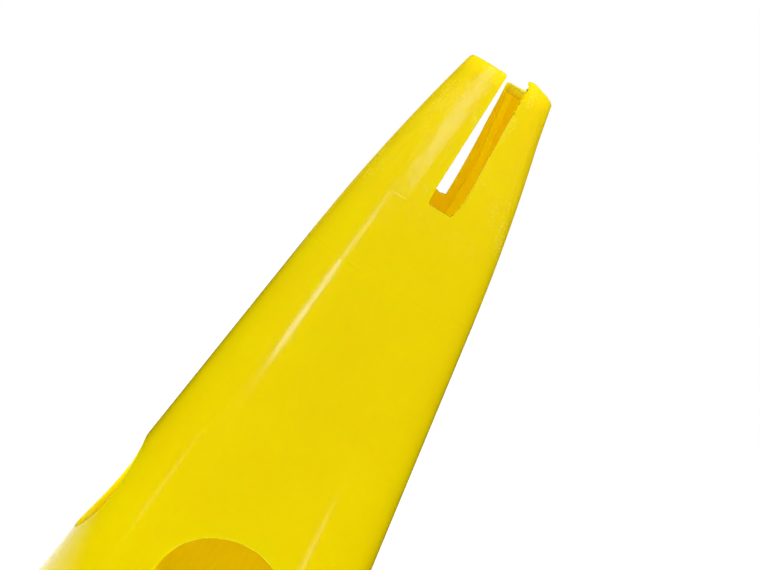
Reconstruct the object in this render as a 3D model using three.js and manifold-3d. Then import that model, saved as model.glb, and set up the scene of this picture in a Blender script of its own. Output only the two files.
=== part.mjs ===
// A hollow felling wedge: a round, tapered, forked plastic shell that is driven
// through a turned hardwood plug, whose head is hooped with a nailed steel band.
// Millimetres, +Z up. The origin is the centre of the plug's striking face, the
// wedge points up, and its front, with the large finger hole, faces -Y.

import * as THREE from "three";
import { mergeVertices } from "three/addons/utils/BufferGeometryUtils.js";
import Module from "manifold-3d";

const wasm = await Module();
wasm.setup();

// ---- Driving dimensions ----

const HEAD_HEIGHT = 30; // plug head, from the striking face to the rim of the shell
const SHELL_LENGTH = 205;
const TIP_Z = HEAD_HEIGHT + SHELL_LENGTH;
const CLEARANCE = 0.3; // gap between pieces that bear on each other

// Shell: the radius grows fast along the curved nose, then steadily
const TIP_RADIUS = 12.4;
const TIP_SLOPE = 0.272; // radius gained per millimetre at the tip
const BODY_SLOPE = 0.1475; // the same along the straight body
const NOSE_LENGTH = 64;
const NOSE_STEPS = 9;
const TIP_ROUND = 0.6;
const WALL = 2.4;
const CAP_UNDERSIDE = 4.4; // how far the cavity stops short of the tip
const RECESS_DEPTH = 2.4; // the end cap slopes down to this depth behind the front wall
const COLLAR_RADIUS = 48;
const COLLAR_HEIGHT = 12;
const COLLAR_BLEND = 5; // length of the slope that leads into the collar
const RIM_CHAMFER = 1;

// Fork slot, cut through front and rear: it narrows towards the tip, and there towards the rear.
// Its corners are placed this far from the axis, front and rear.
const SLOT_REACH = 25;
const SLOT_FRONT = { depth: 40.7, footHalfWidth: 4.2, tipHalfWidth: 4.1 };
const SLOT_REAR = { depth: 36.4, footHalfWidth: 3.08, tipHalfWidth: 0.15 };

// The prongs' rear walls are lined thicker, except along a narrow channel on each side of the slot
const LINING = 0.45;
const LINING_LENGTH = 25.1;
const CHANNEL_WIDTH = 2;
const CHANNEL_TOP_X = 1.35;
const CHANNEL_FOOT_X = 5.5;
const LINING_OVERLAP = 0.5; // how far the lining runs into the wall and the end cap

// Finger holes
const FRONT_HOLE_Z = TIP_Z - 156.5;
const FRONT_HOLE_RADIUS = 17.7;
const SIDE_HOLE_Z = TIP_Z - 151.5;
const SIDE_HOLE_HALF_WIDTH = 12.3;
const SIDE_HOLE_HALF_HEIGHT = 15.5;

// Socket and plug
const SOCKET_DEPTH = 23;
const SOCKET_RIM_RADIUS = 41.8;
const NOSE_DEPTH = 22; // how far the plug reaches into the socket
const NOSE_CHAMFER = 2.5;
const FLANGE_RADIUS = 45.2;
const FLANGE_HEIGHT = 7;
const HEAD_RADIUS = 41.5;
const HEAD_CHAMFER = 3;

// Steel band round the plug's head
const BAND_THICKNESS = 3;
const BAND_HEIGHT = 16;
const BAND_EDGE = 0.8;

// Nails through the band
const NAIL_COUNT = 3;
const NAIL_RADIUS = 1.2;
const NAIL_LENGTH = 14;
const NAIL_HEAD_RADIUS = 2.8;
const NAIL_HEAD_HEIGHT = 1;

const ROUND_SEGMENTS = 64;
const HOLE_SEGMENTS = 40;
const NAIL_SEGMENTS = 16;
const REACH = 60; // long enough for a cutter to pass any wall

// ---- Solids ----

// A closed geometry as a manifold solid.
function solidOf(geometry) {
  const bare = geometry.clone();
  bare.deleteAttribute("normal");
  bare.deleteAttribute("uv");
  const merged = mergeVertices(bare, 1e-4);
  return new wasm.Manifold(
    new wasm.Mesh({
      numProp: 3,
      vertProperties: new Float32Array(merged.attributes.position.array),
      triVerts: new Uint32Array(merged.index.array),
    }),
  );
}

// A manifold solid as a geometry with flat-shaded faces.
function geometryOf(solid) {
  const mesh = solid.getMesh();
  const geometry = new THREE.BufferGeometry();
  geometry.setAttribute("position", new THREE.BufferAttribute(mesh.vertProperties, 3));
  geometry.setIndex(new THREE.BufferAttribute(mesh.triVerts, 1));
  const faceted = geometry.toNonIndexed();
  faceted.computeVertexNormals();
  return faceted;
}

// A geometry turned about Z from [radius, z] points, listed upwards along the outside.
function lathed(outline, segments = ROUND_SEGMENTS) {
  const points = outline.map(([radius, z]) => new THREE.Vector2(radius, z));
  return new THREE.LatheGeometry(points, segments).rotateX(Math.PI / 2);
}

function turned(outline) {
  return solidOf(lathed(outline));
}

// A bar from the axis of the wedge outwards at an angle about Z, 0 being +X, round or oval.
function radialBar(radius, fromRadius, toRadius, z, angle, segments, halfHeight = radius) {
  const length = toRadius - fromRadius;
  const bar = new THREE.CylinderGeometry(radius, radius, length, segments);
  bar.rotateZ(-Math.PI / 2).scale(1, 1, halfHeight / radius);
  bar.translate(fromRadius + length / 2, 0, z).rotateZ(angle);
  return solidOf(bar);
}

function namedMesh(name, solid, colour, roughness, metalness) {
  const material = new THREE.MeshStandardMaterial({ color: colour, roughness, metalness });
  const mesh = new THREE.Mesh(geometryOf(solid), material);
  mesh.name = name;
  return mesh;
}

// ---- Shell ----

function outerRadius(fromTip) {
  const curved = Math.min(fromTip, NOSE_LENGTH);
  const slopeLoss = (TIP_SLOPE - BODY_SLOPE) / NOSE_LENGTH;
  const nose = TIP_RADIUS + TIP_SLOPE * curved - (slopeLoss * curved ** 2) / 2;
  return nose + BODY_SLOPE * (fromTip - curved);
}

function innerRadius(fromTip) {
  return outerRadius(fromTip) - WALL;
}

// Points of a radius function along the curved nose, from its lower end up to a distance from the tip.
function noseCurve(radiusAt, lastFromTip) {
  return Array.from({ length: NOSE_STEPS + 1 }, (_, i) => {
    const fromTip = NOSE_LENGTH + ((lastFromTip - NOSE_LENGTH) * i) / NOSE_STEPS;
    return [radiusAt(fromTip), TIP_Z - fromTip];
  });
}

function shellOutside() {
  const collarTop = HEAD_HEIGHT + COLLAR_HEIGHT;
  const blendTop = collarTop + COLLAR_BLEND;
  return turned([
    [0, HEAD_HEIGHT],
    [COLLAR_RADIUS - RIM_CHAMFER, HEAD_HEIGHT],
    [COLLAR_RADIUS, HEAD_HEIGHT + RIM_CHAMFER],
    [COLLAR_RADIUS, collarTop],
    [outerRadius(TIP_Z - blendTop), blendTop],
    ...noseCurve(outerRadius, TIP_ROUND),
    [TIP_RADIUS - TIP_ROUND, TIP_Z],
    [0, TIP_Z],
  ]);
}

function shellInside() {
  return turned([
    [0, HEAD_HEIGHT - REACH],
    [SOCKET_RIM_RADIUS, HEAD_HEIGHT - REACH],
    [SOCKET_RIM_RADIUS, HEAD_HEIGHT],
    [innerRadius(SHELL_LENGTH - SOCKET_DEPTH), HEAD_HEIGHT + SOCKET_DEPTH],
    ...noseCurve(innerRadius, CAP_UNDERSIDE),
    [0, TIP_Z - CAP_UNDERSIDE],
  ]);
}

// A block whose eight corners are moved by a function of whether each is right, front and low.
function draftedBlock(cornerAt) {
  const block = new THREE.BoxGeometry(2, 2, 2);
  const corners = block.attributes.position;
  for (let i = 0; i < corners.count; i++) {
    const [x, y, z] = cornerAt(corners.getX(i) > 0, corners.getY(i) < 0, corners.getZ(i) < 0);
    corners.setXYZ(i, x, y, z);
  }
  return solidOf(block);
}

// The fork slot, from its foot, which rises towards the rear, to just past the tip.
function slotCutter() {
  return draftedBlock((right, front, low) => {
    const side = right ? 1 : -1;
    const end = front ? SLOT_FRONT : SLOT_REAR;
    const halfWidth = low ? end.footHalfWidth : end.tipHalfWidth;
    return [side * halfWidth, front ? -SLOT_REACH : SLOT_REACH, TIP_Z + (low ? -end.depth : WALL)];
  });
}

// The channel between the slot's lip and a prong's side; side is 1 for +X and -1 for -X.
function channelCutter(side) {
  return draftedBlock((right, front, low) => {
    const nearX = low ? CHANNEL_FOOT_X : CHANNEL_TOP_X;
    const outer = right === side > 0;
    const x = side * (nearX + (outer ? CHANNEL_WIDTH : 0));
    return [x, front ? 0 : REACH, TIP_Z - (low ? LINING_LENGTH + WALL : 0)];
  });
}

// The thicker rear half of the prongs' inside, cut by the two channels.
function prongLining() {
  const foot = TIP_Z - LINING_LENGTH;
  const top = TIP_Z - CAP_UNDERSIDE + LINING_OVERLAP;
  const outerFace = (z) => innerRadius(TIP_Z - z) + LINING_OVERLAP;
  const innerFace = (z) => innerRadius(TIP_Z - z) - LINING;
  const ring = turned([
    [innerFace(foot), foot],
    [outerFace(foot), foot],
    [outerFace(top), top],
    [innerFace(top), top],
    [innerFace(foot), foot],
  ]);
  const rearHalf = solidOf(new THREE.BoxGeometry(REACH, REACH, REACH).translate(0, REACH / 2, TIP_Z));
  return ring
    .intersect(rearHalf)
    .subtract(channelCutter(1))
    .subtract(channelCutter(-1));
}

// The round recess in the end of the tip, level with the rim at the rear and deepest at the front.
function tipRecess() {
  const radius = innerRadius(0);
  const slope = Math.atan(RECESS_DEPTH / (2 * radius));
  const plug = lathed([
    [0, 0],
    [radius, 0],
    [radius, WALL * 2],
    [0, WALL * 2],
  ]);
  return solidOf(plug.rotateX(slope).translate(0, 0, TIP_Z - RECESS_DEPTH / 2));
}

function fingerHoles() {
  const front = radialBar(FRONT_HOLE_RADIUS, 0, REACH, FRONT_HOLE_Z, -Math.PI / 2, HOLE_SEGMENTS);
  const [right, left] = [0, Math.PI].map((angle) =>
    radialBar(SIDE_HOLE_HALF_WIDTH, 0, REACH, SIDE_HOLE_Z, angle, HOLE_SEGMENTS, SIDE_HOLE_HALF_HEIGHT),
  );
  return front.add(right).add(left);
}

function wedgeShell() {
  return shellOutside()
    .subtract(shellInside())
    .add(prongLining())
    .subtract(tipRecess())
    .subtract(slotCutter())
    .subtract(fingerHoles());
}

// ---- Plug, band and nails ----

const BAND_TOP = HEAD_HEIGHT - FLANGE_HEIGHT - CLEARANCE;
const BAND_BOTTOM = BAND_TOP - BAND_HEIGHT;
const BAND_INNER_RADIUS = HEAD_RADIUS + CLEARANCE;
const BAND_OUTER_RADIUS = BAND_INNER_RADIUS + BAND_THICKNESS;
const NAIL_Z = (BAND_TOP + BAND_BOTTOM) / 2;

// Angles of the nails about Z, the first one at the front.
const nailAngles = Array.from(
  { length: NAIL_COUNT },
  (_, i) => -Math.PI / 2 + (2 * Math.PI * i) / NAIL_COUNT,
);

// The holes that the nails fill, through the band and on into the wood.
function nailHoles() {
  const tip = BAND_OUTER_RADIUS - NAIL_LENGTH - CLEARANCE;
  const radius = NAIL_RADIUS + CLEARANCE;
  return nailAngles
    .map((angle) => radialBar(radius, tip, REACH, NAIL_Z, angle, NAIL_SEGMENTS))
    .reduce((all, hole) => all.add(hole));
}

function drivePlug() {
  const shoulder = HEAD_HEIGHT - CLEARANCE;
  const noseTop = HEAD_HEIGHT + NOSE_DEPTH;
  const rimFit = SOCKET_RIM_RADIUS - CLEARANCE;
  const noseFit = innerRadius(SHELL_LENGTH - SOCKET_DEPTH) - CLEARANCE;
  return turned([
    [0, 0],
    [HEAD_RADIUS - HEAD_CHAMFER, 0],
    [HEAD_RADIUS, HEAD_CHAMFER],
    [HEAD_RADIUS, HEAD_HEIGHT - FLANGE_HEIGHT],
    [FLANGE_RADIUS, HEAD_HEIGHT - FLANGE_HEIGHT],
    [FLANGE_RADIUS, shoulder],
    [rimFit, shoulder],
    [noseFit, noseTop - NOSE_CHAMFER],
    [noseFit - NOSE_CHAMFER, noseTop],
    [0, noseTop],
  ]).subtract(nailHoles());
}

function plugBand() {
  return turned([
    [BAND_INNER_RADIUS, BAND_BOTTOM],
    [BAND_OUTER_RADIUS - BAND_EDGE, BAND_BOTTOM],
    [BAND_OUTER_RADIUS, BAND_BOTTOM + BAND_EDGE],
    [BAND_OUTER_RADIUS, BAND_TOP - BAND_EDGE],
    [BAND_OUTER_RADIUS - BAND_EDGE, BAND_TOP],
    [BAND_INNER_RADIUS, BAND_TOP],
    [BAND_INNER_RADIUS, BAND_BOTTOM],
  ]).subtract(nailHoles());
}

// One nail, made along +Z with its head's underside at the origin, then laid on its radius.
function bandNail(angle) {
  const seat = BAND_OUTER_RADIUS + CLEARANCE;
  const shank = seat - (BAND_OUTER_RADIUS - NAIL_LENGTH);
  const outline = [
    [0, -shank],
    [NAIL_RADIUS, -shank + NAIL_RADIUS * 2],
    [NAIL_RADIUS, 0],
    [NAIL_HEAD_RADIUS, 0],
    [NAIL_HEAD_RADIUS, NAIL_HEAD_HEIGHT / 2],
    [NAIL_HEAD_RADIUS / 2, NAIL_HEAD_HEIGHT],
    [0, NAIL_HEAD_HEIGHT],
  ];
  const nail = lathed(outline, NAIL_SEGMENTS);
  nail.rotateY(Math.PI / 2).translate(seat, 0, NAIL_Z).rotateZ(angle);
  return solidOf(nail);
}

// ---- Assembly ----

const YELLOW = new THREE.Color().setRGB(0.91, 0.81, 0.02, THREE.SRGBColorSpace);
const HARDWOOD = new THREE.Color().setRGB(0.76, 0.6, 0.41, THREE.SRGBColorSpace);
const STEEL = new THREE.Color().setRGB(0.55, 0.55, 0.56, THREE.SRGBColorSpace);
const NAIL_STEEL = new THREE.Color().setRGB(0.66, 0.66, 0.67, THREE.SRGBColorSpace);

const plugAssembly = new THREE.Group();
plugAssembly.add(namedMesh("drive_plug", drivePlug(), HARDWOOD, 0.65, 0));
plugAssembly.add(namedMesh("plug_band", plugBand(), STEEL, 0.4, 1));
nailAngles.forEach((angle, i) => {
  plugAssembly.add(namedMesh(`band_nail_${i + 1}`, bandNail(angle), NAIL_STEEL, 0.35, 1));
});

const fellingWedge = new THREE.Group();
fellingWedge.add(namedMesh("wedge_shell", wedgeShell(), YELLOW, 0.28, 0));
fellingWedge.add(plugAssembly);

export default fellingWedge;
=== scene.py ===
"""The looks of the hollow felling wedge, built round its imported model.

The shell is a distance field turned into a fine mesh; the plug, band and nails are turned meshes.
Lengths inside the mesh functions are millimetres; Blender's own are metres.
"""

import math

import bmesh
import bpy
import numpy as np
from mathutils import Matrix, Vector


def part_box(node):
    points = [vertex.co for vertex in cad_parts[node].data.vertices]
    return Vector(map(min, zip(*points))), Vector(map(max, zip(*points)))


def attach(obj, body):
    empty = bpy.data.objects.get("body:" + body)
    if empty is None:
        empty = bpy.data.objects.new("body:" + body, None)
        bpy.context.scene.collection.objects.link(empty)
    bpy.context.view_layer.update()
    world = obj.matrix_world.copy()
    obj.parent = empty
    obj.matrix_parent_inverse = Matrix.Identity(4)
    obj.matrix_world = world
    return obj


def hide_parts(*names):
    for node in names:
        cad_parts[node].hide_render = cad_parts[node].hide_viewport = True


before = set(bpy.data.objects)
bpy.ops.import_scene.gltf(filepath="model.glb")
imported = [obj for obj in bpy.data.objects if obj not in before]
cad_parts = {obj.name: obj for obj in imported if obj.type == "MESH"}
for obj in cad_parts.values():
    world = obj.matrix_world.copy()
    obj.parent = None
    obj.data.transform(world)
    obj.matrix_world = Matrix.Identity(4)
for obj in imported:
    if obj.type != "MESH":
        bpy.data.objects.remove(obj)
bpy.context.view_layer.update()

MM = 0.001

# ---- Places, from the frame ----

shell_low, shell_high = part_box("wedge_shell")
plug_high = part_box("drive_plug")[1]
band_low, band_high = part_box("plug_band")
TIP_Z = shell_high.z / MM
RIM_Z = shell_low.z / MM
COLLAR_RADIUS = shell_high.x / MM
PLUG_TOP = plug_high.z / MM
FLANGE_RADIUS = plug_high.x / MM
BAND_RADIUS = band_high.x / MM
BAND_LOW = band_low.z / MM
BAND_HIGH = band_high.z / MM

# ---- Shell dimensions ----

TIP_RADIUS = 12.4
TIP_SLOPE = 0.272
BODY_SLOPE = 0.1475
NOSE_LENGTH = 64.0
WALL = 2.4
CAP_THICKNESS = 2.3
RECESS_DEPTH = 1.8
RECESS_TILT = 0.08
COLLAR_HEIGHT = 14.0
COLLAR_ROUND = 2.5
COLLAR_BLEND = 5.0
RIM_ROUND = 1.2
EDGE_ROUND = 0.3
SOFT_EDGE_ROUND = 0.4
SOCKET_RIM_RADIUS = 41.8
SOCKET_TAPER = 0.042

SLOT_DEPTH = 40.3
SLOT_FOOT_RISE = 0.087
SLOT_FRONT_TIP = {"left": 2.2, "right": 4.0}
SLOT_FRONT_FOOT = {"left": 4.3, "right": 4.2}
SLOT_FOOT_TAPER = {"left": 0.4, "right": 1.15}
SLOT_TAPER_LENGTH = 4.5
SLOT_REAR_TIP = 0.35
SLOT_REAR_FOOT = 3.05
SLOT_REAR_STRAIGHT = 3.0
SLOT_WALLS_Y = 12.5
SLOT_FRONT_SHARE = 0.2
SLOT_FOOT_LEVEL_Y = -20.7
SLOT_FOOT_ROUGHNESS = 0.16
SLOT_END_ROUND = 1.2

# The ends of the prongs: a slope or a raised corner runs between two distances from the middle
LEFT_END_DROP = 0.6
LEFT_END_SLOPE = (4.0, 12.0)
RIGHT_END_RISE = 0.5
RIGHT_END_FALL = 0.75
RIGHT_END_SLOPE = (7.0, 12.0)
CORNER_RISE = 0.55
CORNER_SIDE = (7.6, 5.0)
CORNER_FRONT = (6.0, 9.0)
END_TILT = 0.05
END_ROUND = 0.5

# The right prong is bent outwards at its end
SPLAY = 0.75
SPLAY_LENGTH = 14.0
SPLAY_START_X = 1.5

# The thicker lining of the rear wall between and beside the slot's edges
LINING = 0.45
LINING_FILLET = 0.2
LINING_LENGTH = 25.1
LIP_LENGTH = 43.0
LIP_HALF_WIDTH = 5.5
CHANNEL_WIDTH = 2.0
CHANNEL_TIP_X = 1.35
CHANNEL_SPREAD = 0.167

# Finger holes: distance from the tip, half width, half height
FRONT_HOLE = (156.4, 17.7, 17.7)
SIDE_HOLE = (151.5, 12.3, 15.5)

WITNESS_LINES = (63.8, 42.5)
WITNESS_HEIGHTS = (0.05, 0.025)
WITNESS_WIDTH = 0.3
WITNESS_LOOPS = (-0.6, -0.3, 0, 0.3, 0.6)

# Torn flash along the right edge of the slot's front: distance from the tip, length, height
FLASH = (
    (-0.5, 1.2, 1.4),
    (1.6, 0.5, 0.6),
    (3.2, 0.5, 0.8),
    (4.9, 0.45, 0.9),
    (6.4, 0.6, 0.5),
    (8.2, 0.5, 0.4),
    (36.2, 0.5, 0.6),
)
FLASH_BELOW_SKIN = (1.6, 1.0)

# ---- Plug, hoop and nail dimensions ----

CLEARANCE = 0.3
HEAD_RADIUS = 41.5
HEAD_CHAMFER = 3
FLANGE_HEIGHT = 7.0
NOSE_RADIUS = 40.5
NOSE_CHAMFER = 2.5
HOOP_THICKNESS = 3
WELD_ANGLE = math.radians(75)
NAIL_ANGLES = [math.radians(-90 + 120 * i) for i in range(3)]
NAIL_Z = (BAND_LOW + BAND_HIGH) / 2
NAIL_RADIUS = 1.2
NAIL_LENGTH = 14.0
NAIL_POINT = 2.4
NAIL_HEAD_RADIUS = 2.8
NAIL_HEAD_HEIGHT = 1.0

# ---- Distance field of the shell ----


def round_cut(a, b, radius):
    """Where both a and b are inside, with the outer edge between them rounded."""
    over_a = np.maximum(a + radius, 0)
    over_b = np.maximum(b + radius, 0)
    return np.minimum(np.maximum(a, b), -radius) + np.hypot(over_a, over_b)


def round_join(a, b, radius):
    """Where either a or b is inside, with the inner corner between them filleted."""
    under_a = np.maximum(radius - a, 0)
    under_b = np.maximum(radius - b, 0)
    return np.maximum(np.minimum(a, b), radius) - np.hypot(under_a, under_b)


def between(value, start, end):
    """How far the value has gone from start to end, held between 0 and 1."""
    return np.clip((value - start) / (end - start), 0, 1)


def outer_radius(from_tip):
    """The cone's radius: curved near the tip, straight below the nose."""
    curved = np.clip(from_tip, -WALL, NOSE_LENGTH)
    slope_loss = (TIP_SLOPE - BODY_SLOPE) / NOSE_LENGTH
    nose = TIP_RADIUS + TIP_SLOPE * curved - slope_loss * curved**2 / 2
    return nose + BODY_SLOPE * (from_tip - curved)


def witness_height(from_tip):
    """The thin raised rings left where the mould's inserts met."""
    rings = zip(WITNESS_LINES, WITNESS_HEIGHTS)
    return sum(high * np.exp(-(((from_tip - at) / WITNESS_WIDTH) ** 2)) for at, high in rings)


def prong_ends(x, y):
    """How far past the nominal tip each prong reaches. Both are trimmed a little unevenly."""
    left = between(-x, *LEFT_END_SLOPE) ** 1.5 - LEFT_END_DROP
    right = RIGHT_END_RISE - RIGHT_END_FALL * between(x, *RIGHT_END_SLOPE) ** 1.5
    corner = CORNER_RISE * between(x, *CORNER_SIDE) * between(-y, *CORNER_FRONT)
    return np.where(x < 0, left, right + corner)


def body_field(radius, x, y, z):
    """The shell's outside, as if it were solid."""
    from_tip = TIP_Z - z
    steepness = math.cos(math.atan(BODY_SLOPE))
    cone = (radius - outer_radius(from_tip) - witness_height(from_tip)) * steepness
    collar = round_cut(radius - COLLAR_RADIUS, z - (RIM_Z + COLLAR_HEIGHT), COLLAR_ROUND)
    outside = round_join(cone, collar, COLLAR_BLEND)
    end = TIP_Z + prong_ends(x, y) - END_TILT * (y + TIP_RADIUS)
    ended = round_cut(outside, z - end, END_ROUND)
    return round_cut(ended, RIM_Z - z, RIM_ROUND)


def cap_floor(y):
    """The sunken face of the end cap, deepest at the front."""
    return TIP_Z - RECESS_DEPTH + RECESS_TILT * y


def cavity_field(radius, y, z):
    """The hollow: the plug's socket below, the inside of the cone above."""
    socket = SOCKET_RIM_RADIUS - (z - RIM_Z) * SOCKET_TAPER
    inside = np.minimum(socket, outer_radius(TIP_Z - z) - WALL)
    return round_cut(radius - inside, z - (cap_floor(y) - CAP_THICKNESS), 0.5)


def rear_edge(from_tip):
    """Half the slot's width at the rear wall."""
    down = between(from_tip, 0, SLOT_DEPTH - SLOT_REAR_STRAIGHT)
    return SLOT_REAR_TIP + (SLOT_REAR_FOOT - SLOT_REAR_TIP) * (1 - (1 - down) ** 2)


def front_edge(from_tip, x):
    """Half the slot's width at the front, which differs between its left and right edges."""
    down = between(from_tip, 0, SLOT_DEPTH)
    near_foot = between(from_tip, SLOT_DEPTH - SLOT_TAPER_LENGTH, SLOT_DEPTH)
    widths = []
    for side in ("left", "right"):
        tip, foot = SLOT_FRONT_TIP[side], SLOT_FRONT_FOOT[side]
        widths.append(tip + (foot - tip) * down - SLOT_FOOT_TAPER[side] * near_foot)
    return np.where(x < 0, widths[0], widths[1])


def flash_height(from_tip, x, y):
    """How far the torn flash stands into the slot, at the outer skin of its right edge."""
    torn = sum(high * np.exp(-(((from_tip - at) / long) ** 2)) for at, long, high in FLASH)
    skin = outer_radius(from_tip)
    deepest, full = FLASH_BELOW_SKIN
    return torn * between(-y, skin - deepest, skin - full) * (x > 0)


def slot_flare(from_tip, x):
    """What the rounding of the prongs' corners adds to the slot's half width at the tip."""
    end_drop = np.where(x < 0, LEFT_END_DROP, -RIGHT_END_RISE - CORNER_RISE)
    near_end = np.clip(SLOT_END_ROUND + end_drop - from_tip, 0, SLOT_END_ROUND)
    return SLOT_END_ROUND - np.sqrt(np.maximum(SLOT_END_ROUND**2 - near_end**2, 0))


def slot_field(x, y, z):
    """The fork slot, drafted towards the tip and the rear, its foot rising towards the rear."""
    from_tip = TIP_Z - z
    back = between(y, -SLOT_WALLS_Y, SLOT_WALLS_Y)
    front = front_edge(from_tip, x) - flash_height(from_tip, x, y)
    half_width = front + (rear_edge(from_tip) - front) * back
    side = np.abs(x) - half_width - slot_flare(from_tip, x) * (back < SLOT_FRONT_SHARE)
    foot_z = TIP_Z - SLOT_DEPTH + SLOT_FOOT_RISE * (y - SLOT_FOOT_LEVEL_Y)
    ragged = SLOT_FOOT_ROUGHNESS * np.sin(2.9 * x + 0.8) * back
    return round_cut(side, foot_z + ragged - z, 0.5)


def lining_field(radius, x, y, z):
    """The thickened rear wall: a lip along the slot, and beyond a narrow channel the prongs' sides."""
    from_tip = TIP_Z - z
    across = np.abs(x)
    channel_edge = CHANNEL_TIP_X + CHANNEL_SPREAD * from_tip
    face = outer_radius(from_tip) - WALL - LINING - radius
    sides = round_cut(channel_edge + CHANNEL_WIDTH - across, face, 0.2)
    sides = round_cut(sides, from_tip - LINING_LENGTH, 0.25)
    lip = round_cut(across - np.minimum(channel_edge, LIP_HALF_WIDTH), face, 0.25)
    lip = np.maximum(lip, from_tip - LIP_LENGTH)
    return np.maximum(np.minimum(sides, lip), -y)


def hole_field(across, z, hole, outwards):
    """An oval finger hole, only on the side of the axis where outwards is positive."""
    from_tip, half_width, half_height = hole
    stretched = (z - (TIP_Z - from_tip)) * half_width / half_height
    return np.maximum(np.hypot(across, stretched) - half_width, -outwards)


def unsplayed(x, z):
    """Where the right prong would be if its end were not bent outwards."""
    bend = np.clip(1 - (TIP_Z - z) / SPLAY_LENGTH, 0, 1.1) ** 1.5
    return x - SPLAY * bend * between(x, 0, SPLAY_START_X)


def shell_field(points):
    """Negative inside the plastic, positive outside, in millimetres near the surface."""
    x, y, z = points[:, 0], points[:, 1], points[:, 2]
    x = unsplayed(x, z)
    radius = np.hypot(x, y)
    body = body_field(radius, x, y, z)
    shell = round_cut(body, -cavity_field(radius, y, z), SOFT_EDGE_ROUND)
    recess = np.maximum(radius - (TIP_RADIUS - WALL), cap_floor(y) - z)
    shell = round_cut(shell, -recess, EDGE_ROUND)
    slot = slot_field(x, y, z)
    shell = round_cut(shell, -slot, EDGE_ROUND)
    below_cap = z - (cap_floor(y) - CAP_THICKNESS / 2)
    lining = np.maximum(np.maximum(lining_field(radius, x, y, z), body + WALL / 2), below_cap)
    shell = round_join(shell, np.maximum(lining, -slot), LINING_FILLET)
    shell = round_cut(shell, -hole_field(x, z, FRONT_HOLE, -y), EDGE_ROUND)
    return round_cut(shell, -hole_field(y, z, SIDE_HOLE, np.abs(x)), SOFT_EDGE_ROUND)


# ---- From a field to a mesh ----

KEPT_FACES = 0.265


def sample(field, xs, ys, zs):
    """The field on the box grid, one layer of heights at a time."""
    x, y = np.meshgrid(xs, ys, indexing="ij")
    flat = np.stack([x.ravel(), y.ravel()], -1)
    layers = []
    for z in zs:
        points = np.column_stack([flat, np.full(len(flat), z)])
        layers.append(field(points).reshape(x.shape).astype(np.float32))
    return np.stack(layers, -1)


def surface_net(field, xs, ys, zs):
    """Vertices and quads of the field's zero surface: one vertex in each grid cell it crosses."""
    value = sample(field, xs, ys, zs)
    inside = value < 0
    corners = [(i, j, k) for i in (0, 1) for j in (0, 1) for k in (0, 1)]
    count = np.zeros(tuple(n - 1 for n in value.shape), np.int8)
    for i, j, k in corners:
        nx, ny, nz = count.shape
        count += inside[i : i + nx, j : j + ny, k : k + nz]
    cells = np.argwhere((count > 0) & (count < 8))
    number = np.full(count.shape, -1, np.int32)
    number[tuple(cells.T)] = np.arange(len(cells))

    grid = (xs, ys, zs)
    total = np.zeros((len(cells), 3))
    crossings = np.zeros(len(cells))
    for a in corners:
        for axis in range(3):
            if a[axis]:
                continue
            b = tuple(c + (n == axis) for n, c in enumerate(a))
            at_a = cells + a
            at_b = cells + b
            va = value[tuple(at_a.T)]
            vb = value[tuple(at_b.T)]
            crossed = (va < 0) != (vb < 0)
            part = np.where(crossed, va / np.where(crossed, va - vb, 1), 0)
            pa = np.stack([grid[n][at_a[:, n]] for n in range(3)], -1)
            pb = np.stack([grid[n][at_b[:, n]] for n in range(3)], -1)
            total += np.where(crossed[:, None], pa + (pb - pa) * part[:, None], 0)
            crossings += crossed
    vertices = total / crossings[:, None]

    quads = []
    for axis in range(3):
        low = [slice(None)] * 3
        high = [slice(None)] * 3
        low[axis] = slice(None, -1)
        high[axis] = slice(1, None)
        first = inside[tuple(low)]
        edges = np.argwhere(first != inside[tuple(high)])
        leaves = first[tuple(edges.T)]
        u, v = [n for n in range(3) if n != axis]
        around = []
        for du, dv in ((-1, -1), (0, -1), (0, 0), (-1, 0)):
            cell = edges.copy()
            cell[:, u] += du
            cell[:, v] += dv
            around.append(number[tuple(cell.T)])
        quad = np.stack(around, -1)
        turn = leaves if axis != 1 else ~leaves
        quad[~turn] = quad[~turn][:, ::-1]
        quads.append(quad)
    return vertices, np.concatenate(quads)


def gradient(field, points, step=0.02):
    """The field's slope along each axis."""
    slopes = []
    for axis in range(3):
        shift = np.zeros(3)
        shift[axis] = step
        slopes.append(field(points + shift) - field(points - shift))
    return np.stack(slopes, -1) / (2 * step)


def settle(field, points, rounds=3, reach=0.5):
    """The points moved onto the field's zero surface, and the surface's normals there."""
    for _ in range(rounds):
        slope = gradient(field, points)
        size = np.maximum((slope**2).sum(-1), 0.04)
        move = slope * (field(points) / size)[:, None]
        length = np.maximum(np.linalg.norm(move, axis=-1), 1e-12)
        points = points - move * np.minimum(1, reach / length)[:, None]
    normal = gradient(field, points)
    normal /= np.maximum(np.linalg.norm(normal, axis=-1), 1e-12)[:, None]
    return points, normal


def new_object(name, mesh, material):
    piece = bpy.data.objects.new(name, mesh)
    bpy.context.scene.collection.objects.link(piece)
    mesh.materials.append(material)
    mesh.shade_smooth()
    return piece


def mesh_from(name, vertices, faces):
    """A mesh in metres from vertices in millimetres and an array of faces of one size."""
    mesh = bpy.data.meshes.new(name)
    mesh.from_pydata((vertices * MM).tolist(), [], faces.tolist())
    mesh.update()
    return mesh


def vertices_of(mesh):
    flat = np.zeros(len(mesh.vertices) * 3)
    mesh.vertices.foreach_get("co", flat)
    return flat.reshape(-1, 3) / MM


def thinned(mesh, ratio):
    """The mesh with its flatter stretches merged into fewer faces."""
    carrier = bpy.data.objects.new("carrier", mesh)
    bpy.context.scene.collection.objects.link(carrier)
    modifier = carrier.modifiers.new("thin", "DECIMATE")
    modifier.ratio = ratio
    graph = bpy.context.evaluated_depsgraph_get()
    result = bpy.data.meshes.new_from_object(carrier.evaluated_get(graph))
    bpy.data.objects.remove(carrier)
    return result


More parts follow.
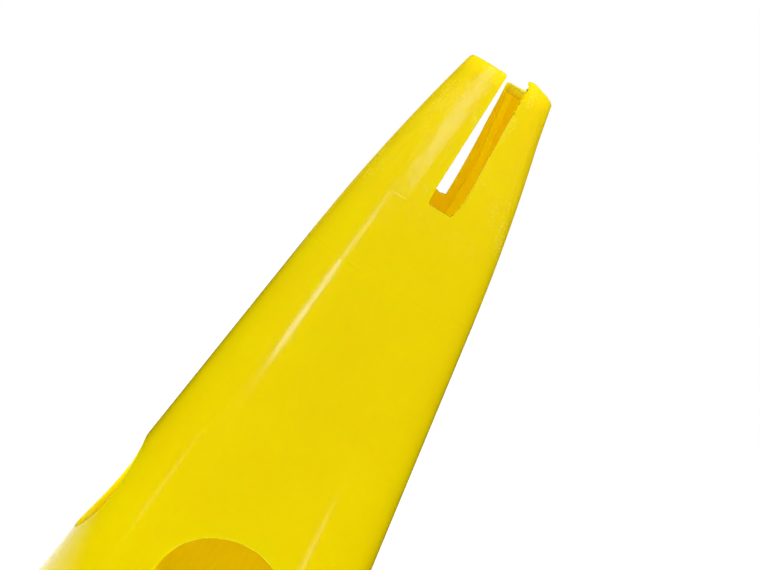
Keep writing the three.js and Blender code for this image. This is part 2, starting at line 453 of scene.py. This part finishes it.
def cut_rings(mesh, heights):
    """Edge loops right round the mesh at these heights."""
    work = bmesh.new()
    work.from_mesh(mesh)
    for z in heights:
        geometry = work.verts[:] + work.edges[:] + work.faces[:]
        bmesh.ops.bisect_plane(work, geom=geometry, plane_co=(0, 0, z * MM), plane_no=(0, 0, 1), dist=1e-6)
    bmesh.ops.triangulate(work, faces=[f for f in work.faces if len(f.verts) > 4])
    work.to_mesh(mesh)
    work.free()


def stepped(*stretches):
    """Grid lines along stretches given as (from, to, step)."""
    return np.concatenate([np.arange(low, high - step / 2, step) for low, high, step in stretches])


def shell_grid():
    """Grid lines along x, y and z, close together round the slot, the holes and the collar."""
    edge = COLLAR_RADIUS + 2
    near_slot = 9.5
    collar_end = RIM_Z + 22
    holes_low, holes_high = TIP_Z - 177, TIP_Z - 134
    slot_low = TIP_Z - 45
    off_centre = 0.013
    xs = stepped((-edge, -near_slot, 0.62), (-near_slot, near_slot, 0.36), (near_slot, edge, 0.62))
    ys = stepped((-edge, edge, 0.6)) + off_centre
    zs = stepped(
        (RIM_Z - 1, collar_end, 0.5),
        (collar_end, holes_low, 1.2),
        (holes_low, holes_high, 0.5),
        (holes_high, slot_low, 1.2),
        (slot_low, TIP_Z + 2.6, 0.42),
    )
    return xs, ys, zs


def build_shell(material):
    vertices, quads = surface_net(shell_field, *shell_grid())
    vertices, _ = settle(shell_field, vertices, rounds=2)
    mesh = thinned(mesh_from("shell_dense", vertices, quads), KEPT_FACES)
    cut_rings(mesh, [TIP_Z - at + offset for at in WITNESS_LINES for offset in WITNESS_LOOPS])
    vertices, normals = settle(shell_field, vertices_of(mesh), rounds=2, reach=0.2)
    mesh.vertices.foreach_set("co", (vertices * MM).ravel())
    mesh.update()
    piece = new_object("shell_moulding", mesh, material)
    mesh.normals_split_custom_set_from_vertices(normals.tolist())
    return piece


# ---- Turned pieces ----


def rounded(profile, radii, step=0.3):
    """Points [radius, z] along a turned profile, its corners rounded by these radii."""
    points = [np.array(profile[0], float)]
    corners = [np.array(p, float) for p in profile]
    for before, corner, after, radius in zip(corners, corners[1:], corners[2:], radii):
        into = (corner - before) / np.linalg.norm(corner - before)
        out = (after - corner) / np.linalg.norm(after - corner)
        turn = math.acos(np.clip(into @ out, -1, 1))
        reach = radius * math.tan(turn / 2)
        first, last = corner - into * reach, corner + out * reach
        for t in np.linspace(0, 1, max(2, int(radius * turn / step) + 2)):
            points.append(first * (1 - t) ** 2 + corner * 2 * t * (1 - t) + last * t**2)
    points.append(corners[-1])
    return np.array(points)


def respaced(profile, spacing):
    """The same profile with points added so that none are further apart than this."""
    points = [profile[0]]
    for a, b in zip(profile, profile[1:]):
        count = max(1, math.ceil(np.linalg.norm(b - a) / spacing))
        points += [a + (b - a) * i / count for i in range(1, count + 1)]
    return np.array(points)


def turned_mesh(name, profile, segments, closed=False):
    """A mesh turned about Z. The profile starts and ends on the axis, or is closed on itself."""
    angles = np.arange(segments) * 2 * math.pi / segments
    inner = profile[:-1] if closed else profile[1:-1]
    rings = len(inner)
    radius = inner[:, 0][:, None]
    height = np.repeat(inner[:, 1][:, None], segments, 1)
    vertices = np.stack([radius * np.cos(angles), radius * np.sin(angles), height], -1).reshape(-1, 3)
    ring = np.arange(rings - (0 if closed else 1))[:, None]
    here = np.arange(segments)[None]
    there = (here + 1) % segments
    above = (ring + 1) % rings
    below, over = ring * segments, above * segments
    corners = (below + here, below + there, over + there, over + here)
    quads = np.stack(corners, -1).reshape(-1, 4).tolist()
    if not closed:
        low, high = len(vertices), len(vertices) + 1
        ends = np.array([[0, 0, profile[0][1]], [0, 0, profile[-1][1]]])
        vertices = np.concatenate([vertices, ends])
        top = (rings - 1) * segments
        quads += [[low, (i + 1) % segments, i] for i in range(segments)]
        quads += [[high, top + i, top + (i + 1) % segments] for i in range(segments)]
    mesh = bpy.data.meshes.new(name)
    mesh.from_pydata((vertices * MM).tolist(), [], quads)
    mesh.update()
    return mesh


def reshape(mesh, shift):
    """Move the vertices by what shift gives for their places, in millimetres."""
    points = vertices_of(mesh)
    mesh.vertices.foreach_set("co", ((points + shift(points)) * MM).ravel())
    mesh.update()


def bore(piece, angles, radius, z, reach):
    """Round holes through the piece along these directions about Z."""
    for angle in angles:
        bpy.ops.mesh.primitive_cylinder_add(
            radius=radius * MM,
            depth=reach * MM,
            location=(BAND_RADIUS * MM * math.cos(angle), BAND_RADIUS * MM * math.sin(angle), z * MM),
            rotation=(0, math.pi / 2, angle),
        )
        drill = bpy.context.object
        cut = piece.modifiers.new("hole", "BOOLEAN")
        cut.object = drill
        bpy.context.view_layer.objects.active = piece
        bpy.ops.object.modifier_apply(modifier="hole")
        bpy.data.objects.remove(drill)


def face_bruises(points):
    """Drying cracks and maul dents in the striking face."""
    rng = np.random.default_rng(4)
    x, y, z = points.T
    radius = np.hypot(x, y)
    angle = np.arctan2(y, x)
    lift = np.zeros(len(points))
    for _ in range(7):
        heading = rng.uniform(0, 2 * math.pi)
        inner, outer = rng.uniform(2, 14), rng.uniform(18, 34)
        wander = 0.06 * np.sin(radius / rng.uniform(3, 6) + rng.uniform(0, 6))
        off = np.abs(np.angle(np.exp(1j * (angle - heading - wander)))) * radius
        along = np.clip(np.minimum(radius - inner, outer - radius) / 5, 0, 1)
        lift += 0.9 * along * np.exp(-((off / (0.25 + 0.3 * along)) ** 2))
    for _ in range(26):
        centre = rng.normal(0, 13, 2)
        size = rng.uniform(3, 8)
        depth = rng.uniform(0.12, 0.4)
        far = np.hypot(x - centre[0], y - centre[1])
        lift += depth / (1 + np.exp((far - size) / 0.5))
    on_face = np.clip(1 - z / 2.5, 0, 1)
    return np.column_stack([np.zeros(len(points)), np.zeros(len(points)), lift * on_face])


def build_plug(material):
    profile = [
        (0, 0),
        (HEAD_RADIUS - HEAD_CHAMFER, 0),
        (HEAD_RADIUS, HEAD_CHAMFER),
        (HEAD_RADIUS, RIM_Z - FLANGE_HEIGHT),
        (FLANGE_RADIUS, RIM_Z - FLANGE_HEIGHT),
        (FLANGE_RADIUS, RIM_Z - CLEARANCE),
        (SOCKET_RIM_RADIUS - CLEARANCE, RIM_Z - CLEARANCE),
        (NOSE_RADIUS, PLUG_TOP - NOSE_CHAMFER),
        (NOSE_RADIUS - NOSE_CHAMFER, PLUG_TOP),
        (0, PLUG_TOP),
    ]
    smooth = respaced(rounded(profile, [1.2, 1.5, 0.4, 1.2, 1.0, 0.6, 1.2, 1.2]), 0.8)
    mesh = turned_mesh("turned_plug", smooth, 320)
    reshape(mesh, face_bruises)
    piece = new_object("turned_plug", mesh, material)
    bore(piece, NAIL_ANGLES, NAIL_RADIUS + CLEARANCE, NAIL_Z, 2 * (NAIL_LENGTH - NAIL_POINT))
    return piece


def hoop_wear(points):
    """A weld bead across the hoop at the rear, and small dents along its edges."""
    rng = np.random.default_rng(9)
    x, y, z = points.T
    radius = np.hypot(x, y)
    angle = np.arctan2(y, x)
    outside = radius > BAND_RADIUS - HOOP_THICKNESS / 2
    from_weld = (angle - WELD_ANGLE) * radius
    ripple = 1 + 0.25 * np.cos(z * 4.2)
    out = 0.35 * ripple * np.exp(-((from_weld / 1.6) ** 2)) * outside
    for _ in range(40):
        heading = rng.uniform(-math.pi, math.pi)
        height = rng.choice([BAND_LOW, BAND_HIGH]) + rng.uniform(-1, 1)
        size = rng.uniform(0.6, 1.8)
        away = np.hypot(np.angle(np.exp(1j * (angle - heading))) * radius, z - height)
        out -= rng.uniform(0.1, 0.3) * np.exp(-((away / size) ** 2)) * outside
    return np.column_stack([out * np.cos(angle), out * np.sin(angle), np.zeros(len(points))])


def build_hoop(material):
    inner = BAND_RADIUS - HOOP_THICKNESS
    corners = [
        (inner, (BAND_LOW + BAND_HIGH) / 2),
        (inner, BAND_LOW),
        (BAND_RADIUS, BAND_LOW),
        (BAND_RADIUS, BAND_HIGH),
        (inner, BAND_HIGH),
        (inner, (BAND_LOW + BAND_HIGH) / 2),
    ]
    profile = respaced(rounded(corners, [0.4, 0.8, 0.8, 0.4], 0.15), 0.6)
    mesh = turned_mesh("steel_hoop", profile, 400, closed=True)
    reshape(mesh, hoop_wear)
    piece = new_object("steel_hoop", mesh, material)
    bore(piece, NAIL_ANGLES, NAIL_RADIUS + CLEARANCE, NAIL_Z, 4 * HOOP_THICKNESS)
    return piece


def build_nail(number, angle, material):
    """One wire nail with a hammered, slightly domed head, laid on its radius."""
    seat = BAND_RADIUS + CLEARANCE
    shank = NAIL_LENGTH + CLEARANCE
    corners = [
        (0, -shank),
        (NAIL_RADIUS, NAIL_POINT - shank),
        (NAIL_RADIUS, 0),
        (NAIL_HEAD_RADIUS, 0),
        (NAIL_HEAD_RADIUS - 0.1, 0.55),
        (NAIL_RADIUS, NAIL_HEAD_HEIGHT),
        (0, NAIL_HEAD_HEIGHT),
    ]
    profile = respaced(rounded(corners, [0.2, 0.2, 0.15, 0.3, 1.0], 0.08), 0.35)
    mesh = turned_mesh(f"hoop_nail_{number}", profile, 48)
    rng = np.random.default_rng(number)
    tilt = rng.uniform(-0.06, 0.06, 2)

    def hammered(points):
        flat = np.minimum(0, 0.92 * NAIL_HEAD_HEIGHT + points[:, :2] @ tilt - points[:, 2])
        return np.column_stack([np.zeros((len(points), 2)), flat])

    reshape(mesh, hammered)
    lay = Matrix.Rotation(angle, 4, "Z") @ Matrix.Translation((seat * MM, 0, NAIL_Z * MM))
    mesh.transform(lay @ Matrix.Rotation(math.pi / 2, 4, "Y"))
    return new_object(f"hoop_nail_{number}", mesh, material)


# ---- Materials ----


class Nodes:
    """A material's node tree, with short ways to add and join nodes."""

    def __init__(self, name):
        self.material = bpy.data.materials.new(name)
        self.material.use_nodes = True
        self.tree = self.material.node_tree
        self.shader = self.tree.nodes["Principled BSDF"]
        self.place = self.add("ShaderNodeTexCoord").outputs["Object"]

    def add(self, kind, **inputs):
        node = self.tree.nodes.new(kind)
        for name, value in inputs.items():
            self.give(node.inputs[name.replace("_", " ")], value)
        return node

    def give(self, socket, value):
        if isinstance(value, bpy.types.NodeSocket):
            self.tree.links.new(value, socket)
        else:
            socket.default_value = value

    def math(self, operation, a, b=0.0):
        node = self.tree.nodes.new("ShaderNodeMath")
        node.operation = operation
        self.give(node.inputs[0], a)
        self.give(node.inputs[1], b)
        return node.outputs[0]

    def stretched(self, scale):
        """Object coordinates multiplied by this scale along each axis, per metre."""
        node = self.tree.nodes.new("ShaderNodeVectorMath")
        node.operation = "MULTIPLY"
        self.give(node.inputs[0], self.place)
        node.inputs[1].default_value = scale
        return node.outputs[0]

    def noise(self, vector, scale, detail=3.0, roughness=0.5):
        node = self.add("ShaderNodeTexNoise", Vector=vector, Scale=scale)
        node.inputs["Detail"].default_value = detail
        node.inputs["Roughness"].default_value = roughness
        return node.outputs["Fac"]

    def ramp(self, value, low, high, to_low=0.0, to_high=1.0):
        node = self.add("ShaderNodeMapRange", Value=value)
        node.inputs["From Min"].default_value = low
        node.inputs["From Max"].default_value = high
        node.inputs["To Min"].default_value = to_low
        node.inputs["To Max"].default_value = to_high
        return node.outputs["Result"]

    def mix(self, share, a, b):
        node = self.tree.nodes.new("ShaderNodeMix")
        node.data_type = "RGBA"
        self.give(node.inputs["Factor"], share)
        self.give(node.inputs["A"], a if isinstance(a, bpy.types.NodeSocket) else (*a, 1))
        self.give(node.inputs["B"], b if isinstance(b, bpy.types.NodeSocket) else (*b, 1))
        return node.outputs["Result"]

    def bump(self, height, distance, strength=1.0):
        node = self.add("ShaderNodeBump", Height=height, Distance=distance, Strength=strength)
        self.give(self.shader.inputs["Normal"], node.outputs["Normal"])

    def length(self, a, b):
        """The length of a vector with these two sides."""
        return self.math("SQRT", self.math("ADD", self.math("MULTIPLY", a, a), self.math("MULTIPLY", b, b)))

    def axes(self):
        node = self.add("ShaderNodeSeparateXYZ", Vector=self.place)
        return node.outputs["X"], node.outputs["Y"], node.outputs["Z"]


def yellow_plastic():
    """Glossy moulded yellow: lengthwise scratches outside, drawn streaks inside painted a deeper orange as
    painted shade of the hollow, a scuffed tip.
    """
    nodes = Nodes("yellow_plastic")
    x, y, z = nodes.axes()
    shader = nodes.shader
    tip = nodes.ramp(z, (TIP_Z - 52) * MM, (TIP_Z - 26) * MM)
    cloud = nodes.noise(nodes.place, 45.0, 2.0)
    streak = nodes.noise(nodes.stretched((1500.0, 1500.0, 60.0)), 1.0, 3.0, 0.6)
    hairline = nodes.noise(nodes.stretched((3600.0, 3600.0, 30.0)), 1.0, 2.0)
    drawn = nodes.noise(nodes.stretched((900.0, 900.0, 12.0)), 1.0, 3.0, 0.6)
    speck = nodes.noise(nodes.place, 1500.0, 2.0, 0.7)
    ripple = nodes.noise(nodes.stretched((260.0, 260.0, 130.0)), 1.0, 2.0, 0.4)
    patch = nodes.noise(nodes.stretched((110.0, 110.0, 60.0)), 1.0, 3.0, 0.6)

    normal = nodes.tree.nodes.new("ShaderNodeNewGeometry").outputs["Normal"]
    nx, ny, _ = nodes.add("ShaderNodeSeparateXYZ", Vector=normal).outputs
    outwards = nodes.math("ADD", nodes.math("MULTIPLY", nx, x), nodes.math("MULTIPLY", ny, y))
    below_cap = nodes.ramp(z, (TIP_Z - 3) * MM, (TIP_Z - 5) * MM)
    inside = nodes.math("MULTIPLY", nodes.ramp(outwards, -0.001, -0.006), below_cap)
    outside = nodes.ramp(outwards, 0.001, 0.006)

    tone = nodes.ramp(cloud, 0.3, 0.7)
    base = nodes.mix(tone, (0.985, 0.53, 0.0), (0.995, 0.56, 0.0))
    # Painted shade: the inner walls are painted a deeper orange, following the real drawn tool streaks, to
    # stand in for the hollow's shade
    drawn_marks_and_painted_inner_shade = nodes.math("MULTIPLY", inside, nodes.ramp(drawn, 0.35, 0.65))
    base = nodes.mix(drawn_marks_and_painted_inner_shade, base, (0.98, 0.495, 0.0))

    scuffed = nodes.math("MULTIPLY", nodes.ramp(patch, 0.5, 0.66), nodes.math("MULTIPLY", tip, outside))
    worn = nodes.math("MULTIPLY", nodes.ramp(speck, 0.52, 0.66), scuffed)
    whitened = nodes.math("MULTIPLY", nodes.ramp(streak, 0.52, 0.62, 0.0, 0.22), scuffed)
    base = nodes.mix(whitened, base, (1.0, 0.72, 0.12))
    nodes.give(shader.inputs["Base Color"], base)
    dull = nodes.math("MULTIPLY", tip, 0.06)
    scratched = nodes.ramp(streak, 0.5, 0.75, 0.0, 0.1)
    rough = nodes.math("ADD", nodes.math("ADD", 0.1, dull), nodes.math("ADD", scratched, worn))
    nodes.give(shader.inputs["Roughness"], nodes.math("MINIMUM", rough, 0.4))

    fine = nodes.math("MULTIPLY", hairline, 0.4)
    wavy = nodes.math("MULTIPLY", nodes.ramp(ripple, 0.35, 0.65, 0.0, 9.0), tip)
    rubbed = nodes.math("ADD", nodes.math("MULTIPLY", worn, 0.5), wavy)
    grooves = nodes.math("MULTIPLY", nodes.math("MULTIPLY", drawn, inside), 3.0)
    height = nodes.math("ADD", nodes.math("ADD", streak, fine), nodes.math("ADD", rubbed, grooves))
    nodes.bump(height, 0.00002, 0.6)

    # Red light travels furthest in the plastic and blue hardly at all, so the inner walls glow orange
    shader.inputs["Subsurface Weight"].default_value = 1.0
    shader.inputs["Subsurface Radius"].default_value = (1.0, 0.75, 0.05)
    shader.inputs["Subsurface Scale"].default_value = 0.017
    return nodes.material


def hardwood():
    """Ring-porous wood with its grain along the plug: rings and pores show on its ends."""
    nodes = Nodes("hardwood")
    x, y, z = nodes.axes()
    warp = nodes.noise(nodes.stretched((18.0, 18.0, 5.0)), 1.0, 3.0)
    from_pith = nodes.length(nodes.math("SUBTRACT", x, 0.03), nodes.math("ADD", y, 0.055))
    distance = nodes.math("ADD", from_pith, nodes.math("MULTIPLY", warp, 0.009))
    ring = nodes.math("FRACT", nodes.math("MULTIPLY", distance, 420.0))
    fibre = nodes.noise(nodes.stretched((2600.0, 2600.0, 70.0)), 1.0, 4.0, 0.65)
    pore = nodes.noise(nodes.stretched((3400.0, 3400.0, 240.0)), 1.0, 2.0)
    blotch = nodes.noise(nodes.stretched((40.0, 40.0, 14.0)), 1.0, 3.0)

    late = nodes.ramp(ring, 0.55, 0.95)
    base = nodes.mix(late, (0.50, 0.295, 0.135), (0.33, 0.165, 0.065))
    base = nodes.mix(nodes.ramp(blotch, 0.35, 0.7, 0.0, 0.45), base, (0.42, 0.22, 0.09))
    base = nodes.mix(nodes.ramp(fibre, 0.35, 0.75, 0.0, 0.5), base, (0.24, 0.12, 0.05))
    early = nodes.ramp(ring, 0.3, 0.0)
    pores = nodes.math("MULTIPLY", nodes.ramp(pore, 0.58, 0.68), nodes.math("ADD", early, 0.25))
    base = nodes.mix(pores, base, (0.09, 0.045, 0.02))
    on_face = nodes.ramp(z, 0.004, 0.0005)
    grime = nodes.noise(nodes.place, 90.0, 4.0, 0.65)
    dirt = nodes.math("MULTIPLY", nodes.ramp(grime, 0.42, 0.68, 0.0, 0.75), on_face)
    base = nodes.mix(dirt, base, (0.10, 0.075, 0.055))
    nodes.give(nodes.shader.inputs["Base Color"], base)
    nodes.give(nodes.shader.inputs["Roughness"], nodes.ramp(fibre, 0.2, 0.8, 0.48, 0.72))
    deep = nodes.math("SUBTRACT", nodes.math("MULTIPLY", fibre, 0.6), pores)
    nodes.bump(deep, 0.0001, 0.8)
    return nodes.material


def rolled_steel():
    """A dull rolled hoop: scratches running round it, dark scale and a few rust specks."""
    nodes = Nodes("band_steel")
    x, y, z = nodes.axes()
    radius = nodes.length(x, y)
    angle = nodes.math("ARCTAN2", y, x)
    round_it = nodes.math("MULTIPLY", angle, 3.0)
    outwards = nodes.math("MULTIPLY", radius, 3000.0)
    along = nodes.math("MULTIPLY", z, 3000.0)
    place = nodes.add("ShaderNodeCombineXYZ", X=round_it, Y=outwards, Z=along).outputs[0]
    scratch = nodes.noise(place, 1.0, 4.0, 0.7)
    scale = nodes.noise(nodes.place, 110.0, 5.0, 0.6)
    speck = nodes.noise(nodes.place, 420.0, 4.0, 0.6)
    base = nodes.mix(nodes.ramp(scratch, 0.35, 0.7), (0.20, 0.20, 0.21), (0.36, 0.36, 0.37))
    base = nodes.mix(nodes.ramp(scale, 0.5, 0.68, 0.0, 0.8), base, (0.10, 0.095, 0.095))
    rust = nodes.math("MULTIPLY", nodes.ramp(speck, 0.56, 0.64), nodes.ramp(scale, 0.45, 0.6))
    base = nodes.mix(rust, base, (0.20, 0.075, 0.03))
    nodes.give(nodes.shader.inputs["Base Color"], base)
    nodes.give(nodes.shader.inputs["Metallic"], nodes.ramp(rust, 0.0, 1.0, 1.0, 0.15))
    worn = nodes.ramp(scratch, 0.3, 0.75, 0.48, 0.3)
    nodes.give(nodes.shader.inputs["Roughness"], nodes.math("ADD", worn, nodes.math("MULTIPLY", rust, 0.4)))
    nodes.bump(nodes.math("ADD", scratch, rust), 0.00006, 0.7)
    return nodes.material


def nail_wire():
    """Bright wire, dulled by the hammer."""
    nodes = Nodes("nail_steel")
    dent = nodes.noise(nodes.place, 700.0, 3.0, 0.6)
    stain = nodes.noise(nodes.place, 260.0, 4.0, 0.6)
    base = nodes.mix(nodes.ramp(stain, 0.45, 0.7), (0.46, 0.46, 0.47), (0.22, 0.19, 0.17))
    nodes.give(nodes.shader.inputs["Base Color"], base)
    nodes.shader.inputs["Metallic"].default_value = 1.0
    nodes.give(nodes.shader.inputs["Roughness"], nodes.ramp(dent, 0.3, 0.7, 0.28, 0.5))
    nodes.bump(dent, 0.0001, 0.8)
    return nodes.material


# ---- Studio ----

WORLD_FILL = 1.05
OVERHEAD_REFLECTION = 0.25
BACKDROP_REFLECTION = 0.6
BACKDROP_COLOUR = (1.0, 0.74, 0.1)
LIGHT_CENTRE_Z = 0.14
LIGHT_DISTANCE = 0.9
LIGHT_BOUNCES = 10
COOL = (0.5, 0.7, 1.0)

# The camera: its bearing, and where it aims from the tip, in metres
CAMERA_AZIMUTH = math.radians(-5.67)
CAMERA_ELEVATION = math.radians(5.235)
CAMERA_ROLL = math.radians(30.66)
CAMERA_DISTANCE = 0.4124
CAMERA_LENS = 71.05
AIM_BELOW_TIP = 0.0668
AIM_SIDE = -0.00185


def direction(azimuth, elevation):
    """From the object towards a point at this bearing, 0 being the front and 90 the right."""
    return Vector(
        (
            math.sin(azimuth) * math.cos(elevation),
            -math.cos(azimuth) * math.cos(elevation),
            math.sin(elevation),
        )
    )


def build_camera():
    data = bpy.data.cameras.new("camera")
    data.lens = CAMERA_LENS
    data.clip_start = 0.01
    camera = bpy.data.objects.new("camera", data)
    bpy.context.scene.collection.objects.link(camera)
    back = direction(CAMERA_AZIMUTH, CAMERA_ELEVATION)
    level = Vector((math.cos(CAMERA_AZIMUTH), math.sin(CAMERA_AZIMUTH), 0))
    upright = back.cross(level)
    right = level * math.cos(CAMERA_ROLL) + upright * math.sin(CAMERA_ROLL)
    up = upright * math.cos(CAMERA_ROLL) - level * math.sin(CAMERA_ROLL)
    aim = Vector((0, 0, TIP_Z * MM - AIM_BELOW_TIP)) + level * AIM_SIDE
    turn = Matrix((right, up, back)).transposed().to_4x4()
    camera.matrix_world = Matrix.Translation(aim + back * CAMERA_DISTANCE) @ turn
    bpy.context.scene.camera = camera


def area_light(name, azimuth, elevation, size, power, colour=(1, 1, 1), reflected=True):
    """A rectangular light facing the object from this bearing in degrees."""
    data = bpy.data.lights.new(name, "AREA")
    data.shape = "RECTANGLE"
    data.size, data.size_y = size
    data.energy = power
    data.color = colour
    lamp = bpy.data.objects.new(name, data)
    bpy.context.scene.collection.objects.link(lamp)
    lamp.visible_glossy = reflected
    centre = Vector((0, 0, LIGHT_CENTRE_Z))
    back = direction(math.radians(azimuth), math.radians(elevation))
    lamp.location = centre + back * LIGHT_DISTANCE
    lamp.rotation_euler = back.to_track_quat("Z", "Y").to_euler()


def build_world():
    """White to the camera and an even fill; in reflections bright only overhead and behind."""
    world = bpy.data.worlds.new("studio")
    bpy.context.scene.world = world
    world.use_nodes = True
    tree = world.node_tree
    tree.nodes.clear()
    path = tree.nodes.new("ShaderNodeLightPath")
    place = tree.nodes.new("ShaderNodeTexCoord")
    axes = tree.nodes.new("ShaderNodeSeparateXYZ")
    tree.links.new(place.outputs["Generated"], axes.inputs[0])
    output = tree.nodes.new("ShaderNodeOutputWorld")

    def towards(axis, start, full, strength):
        node = tree.nodes.new("ShaderNodeMapRange")
        tree.links.new(axes.outputs[axis], node.inputs["Value"])
        node.inputs["From Min"].default_value = start
        node.inputs["From Max"].default_value = full
        node.inputs["To Max"].default_value = strength
        return node.outputs["Result"]

    def even(strength, colour=(1, 1, 1)):
        node = tree.nodes.new("ShaderNodeBackground")
        node.inputs["Color"].default_value = (*colour, 1)
        node.inputs["Strength"].default_value = strength
        return node

    def choose(ray, otherwise, then):
        node = tree.nodes.new("ShaderNodeMixShader")
        tree.links.new(path.outputs[ray], node.inputs["Fac"])
        tree.links.new(otherwise, node.inputs[1])
        tree.links.new(then, node.inputs[2])
        return node.outputs["Shader"]

    above = even(0.0)
    tree.links.new(towards("Z", 0.87, 0.97, OVERHEAD_REFLECTION), above.inputs["Strength"])
    behind = even(0.0, BACKDROP_COLOUR)
    tree.links.new(towards("Y", 0.9, 0.98, BACKDROP_REFLECTION), behind.inputs["Strength"])
    reflection = tree.nodes.new("ShaderNodeAddShader")
    tree.links.new(above.outputs[0], reflection.inputs[0])
    tree.links.new(behind.outputs[0], reflection.inputs[1])
    lit = choose("Is Glossy Ray", even(WORLD_FILL).outputs[0], reflection.outputs[0])
    seen = choose("Is Camera Ray", lit, even(1.0).outputs[0])
    tree.links.new(seen, output.inputs["Surface"])


def build_floor():
    """A pale plane, which the object reflects only where it is close by."""
    bpy.ops.mesh.primitive_plane_add(size=6, location=(0, 0, -0.0002))
    floor = bpy.context.object
    floor.name = "floor"
    nodes = Nodes("floor")
    nodes.shader.inputs["Base Color"].default_value = (0.9, 0.9, 0.9, 1)
    nodes.shader.inputs["Roughness"].default_value = 0.9
    nodes.shader.inputs["Specular IOR Level"].default_value = 0.0
    nodes.shader.inputs["Emission Color"].default_value = (1, 1, 1, 1)
    nodes.shader.inputs["Emission Strength"].default_value = 0.15
    x, y, _ = nodes.axes()
    radius = nodes.length(x, y)
    path = nodes.tree.nodes.new("ShaderNodeLightPath")
    hidden = nodes.math("MULTIPLY", nodes.ramp(radius, 0.2, 0.4), path.outputs["Is Glossy Ray"])
    black = nodes.add("ShaderNodeEmission", Strength=0.0)
    both = nodes.tree.nodes.new("ShaderNodeMixShader")
    nodes.tree.links.new(hidden, both.inputs["Fac"])
    nodes.tree.links.new(nodes.shader.outputs[0], both.inputs[1])
    nodes.tree.links.new(black.outputs[0], both.inputs[2])
    nodes.tree.links.new(both.outputs[0], nodes.tree.nodes["Material Output"].inputs["Surface"])
    floor.data.materials.append(nodes.material)


def build_studio():
    bpy.context.scene.view_settings.view_transform = "Standard"
    bpy.context.scene.cycles.diffuse_bounces = LIGHT_BOUNCES
    build_camera()
    build_world()
    build_floor()
    area_light("key_strip", -72, 7.5, (0.09, 0.11), 0.2, colour=COOL)
    area_light("key_upper", -71, 14.5, (0.09, 0.1), 0.065, colour=COOL)
    area_light("tip_softbox", -60, 31, (0.4, 0.26), 0.8, colour=COOL)
    area_light("low_strip_right", 54, -5.5, (0.03, 0.13), 0.05, colour=COOL)
    area_light("low_strip_left", -87, -6, (0.03, 0.08), 0.012, colour=COOL)
    area_light("right_fill", 70, -5, (0.6, 0.4), 1.5, reflected=False)
    area_light("left_fill", -105, 5, (0.5, 0.4), 0.5, reflected=False)
    area_light("front_fill", -8, 12, (0.5, 0.5), 2.0, reflected=False)


build_studio()
shell = build_shell(yellow_plastic())
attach(shell, "shell_body")
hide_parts("wedge_shell")

plug = build_plug(hardwood())
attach(plug, "plug_assembly")
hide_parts("drive_plug")

hoop = build_hoop(rolled_steel())
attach(hoop, "plug_assembly")
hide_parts("plug_band")

wire = nail_wire()
for i, angle in enumerate(NAIL_ANGLES, 1):
    nail = build_nail(i, angle, wire)
    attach(nail, "plug_assembly")
    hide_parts(f"band_nail_{i}")
